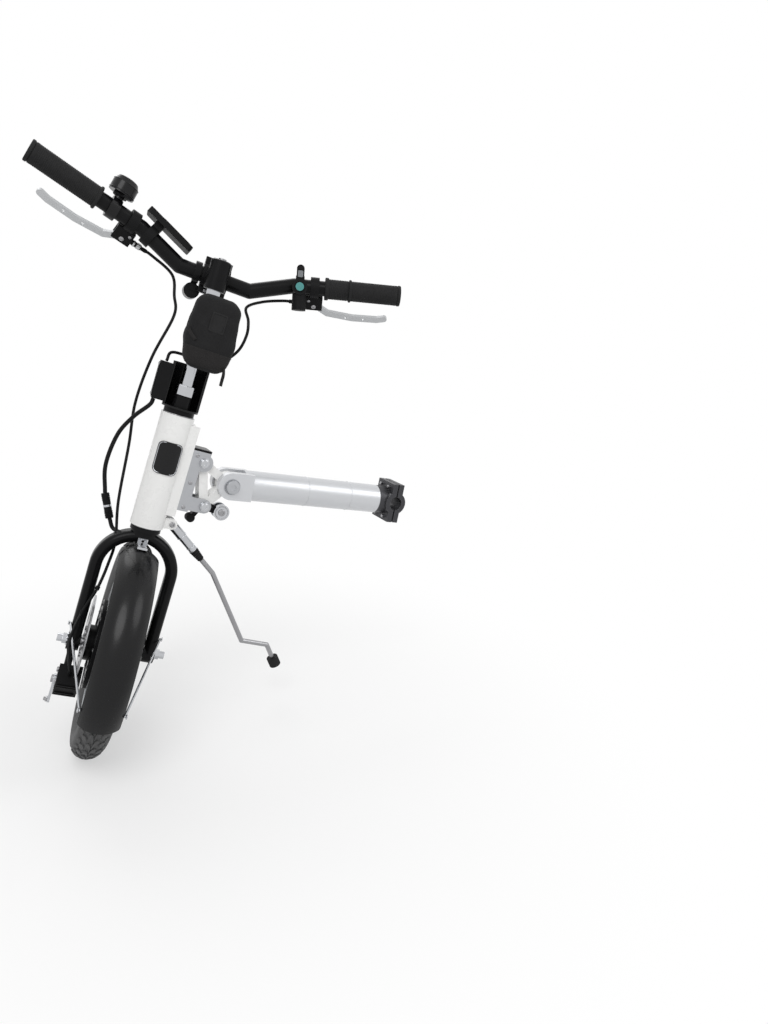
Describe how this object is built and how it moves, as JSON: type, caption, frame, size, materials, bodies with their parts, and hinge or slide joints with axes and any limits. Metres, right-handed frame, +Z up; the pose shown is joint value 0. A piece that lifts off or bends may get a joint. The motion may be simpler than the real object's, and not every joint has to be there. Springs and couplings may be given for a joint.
{
  "type": "wheelchair power assist",
  "caption": "Clip-on front drive for a manual wheelchair: docking arm, latch coupler, steered fork with hub-motor wheel, handlebar controls, stand.",
  "frame": {"origin": "centre of the rear clamp bore that grips the wheelchair's cross tube", "axes": "+X forward, +Y to the rider's left along the clamp bore, +Z up"},
  "size_m": [0.6673, 0.3777, 0.9782],
  "materials": {
    "silver_paint": "metallic silver paint",
    "white_paint": "pearl white paint",
    "grey_alloy": "satin anodised",
    "clamp_alloy": "dark anodised",
    "bright_steel": "polished",
    "plain_steel": "bright drawn",
    "black_paint": "satin black",
    "gloss_black": "gloss",
    "matte_black": "fine grain",
    "button_grey": "matte",
    "button_teal": "gloss",
    "lever_alloy": "brushed",
    "grip_rubber": "matte",
    "tyre_rubber": "matte",
    "wheel_alloy": "black coated casting",
    "stator_core": "wound core",
    "pouch_cloth": "woven nylon",
    "cable_jacket": "smooth jacket"
  },
  "bodies": {
    "frame": {"arm_tube": "silver_paint", "arm_clevis": "silver_paint", "clevis_bolt": "bright_steel", "frame_clamp": "clamp_alloy", "frame_clamp_cap": "clamp_alloy", "clamp_bolts": "bright_steel", "dock_tongue": "white_paint", "coupler_plates": "grey_alloy", "coupler_bridge": "matte_black", "coupler_pins": "bright_steel", "head_tube": "white_paint", "head_rail": "white_paint", "badge_plate": "gloss_black", "headset_cups": "black_paint", "stand_hinge": "white_paint"},
    "latch": {"latch_cam": "black_paint", "latch_roller": "bright_steel"},
    "stand": {"stand_socket": "bright_steel", "stand_boot": "grip_rubber", "stand_rod": "plain_steel", "stand_foot": "grip_rubber"},
    "wheel": {"tyre": "tyre_rubber", "rim": "wheel_alloy", "motor_covers": "wheel_alloy", "hub_bearings": "bright_steel", "brake_disc": "plain_steel", "disc_bolts_set": "bright_steel"},
    "left_lever": {"brake_lever_left": "lever_alloy"},
    "right_lever": {"brake_lever_right": "lever_alloy"},
    "caliper_lever": {"caliper_arm": "bright_steel"},
    "throttle": {"throttle": "grip_rubber"},
    "bell_thumb": {"bell_lever": "matte_black"},
    "horn": {"horn_button": "button_teal"},
    "display_key": {"display_button": "button_grey"},
    "steered": {"fork": "black_paint", "locknut": "bright_steel", "stem_column": "bright_steel", "stem_body": "black_paint", "stem_faceplate": "black_paint", "stem_bolts": "bright_steel", "handlebar": "black_paint", "bar_grips": "grip_rubber", "lever_bodies": "matte_black", "display_case": "matte_black", "display_bracket": "matte_black", "bell_body": "matte_black", "switch_housing": "matte_black", "controller_box": "matte_black", "column_shroud": "gloss_black", "pouch": "pouch_cloth", "headlamp": "matte_black", "mudguard": "gloss_black", "mudguard_stays": "plain_steel", "caliper_body": "black_paint", "axle": "plain_steel", "axle_nuts": "bright_steel", "stator": "stator_core", "brake_cables": "cable_jacket", "motor_cable": "cable_jacket", "motor_connector": "matte_black"}
  },
  "joints": [
    {"name": "latch_open", "type": "hinge", "parent": "frame", "child": "latch", "pos_m": [0.37298, 0, 0.02527], "axis": [0, -1, 0], "range_deg": [0, 25]},
    {"name": "stand_fold", "type": "hinge", "parent": "frame", "child": "stand", "pos_m": [0.42692, 0, -0.00281], "axis": [0, 1, 0], "range_deg": [0, 22]},
    {"name": "steering", "type": "hinge", "parent": "frame", "child": "steered", "pos_m": [0.43971, 0, 0.08301], "axis": [-0.3007, 0, 0.9537], "range_deg": [0, 168]},
    {"name": "wheel_spin", "type": "hinge", "parent": "steered", "child": "wheel", "pos_m": [0.53353, 0, -0.21455], "axis": [0.9362, -0.1908, 0.2952], "continuous": true},
    {"name": "brake_left", "type": "hinge", "parent": "steered", "child": "left_lever", "pos_m": [0.46789, -0.09167, 0.46086], "axis": [-0.3322, -0.7458, 0.5775], "range_deg": [0, 11], "stiffness_Nm_per_rad": 0.8, "springref_deg": -11.46},
    {"name": "brake_right", "type": "hinge", "parent": "steered", "child": "right_lever", "pos_m": [0.15843, -0.02476, 0.36818], "axis": [0.3354, 0.7451, -0.5765], "range_deg": [0, 11], "stiffness_Nm_per_rad": 0.8, "springref_deg": -11.46},
    {"name": "caliper_pull", "type": "hinge", "parent": "steered", "child": "caliper_lever", "pos_m": [0.62804, 0.04061, -0.23566], "axis": [0.9362, -0.1908, 0.2952], "range_deg": [0, 22]},
    {"name": "throttle_twist", "type": "hinge", "parent": "steered", "child": "throttle", "pos_m": [0.1331, 0.00625, 0.39352], "axis": [-0.9238, 0.3799, -0.0465], "range_deg": [0, 55], "stiffness_Nm_per_rad": 0.15, "springref_deg": -17.19},
    {"name": "bell_ring", "type": "hinge", "parent": "steered", "child": "bell_thumb", "pos_m": [0.47373, -0.06919, 0.51642], "axis": [-0.515, -0.0041, 0.8572], "range_deg": [0, 25], "stiffness_Nm_per_rad": 0.05, "springref_deg": -11.46},
    {"name": "horn_press", "type": "slide", "parent": "steered", "child": "horn", "axis": [-0.182, -0.9816, -0.0574], "range_m": [0, 0.002], "stiffness_N_per_m": 600, "springref_m": -0.0005},
    {"name": "display_press", "type": "slide", "parent": "steered", "child": "display_key", "axis": [0.6876, -0.0853, -0.721], "range_m": [0, 0.0015], "stiffness_N_per_m": 500, "springref_m": -0.0005}
  ],
  "couplings": [
    {"joint": "caliper_pull", "follows": "brake_left", "ratio": 2}
  ]
}
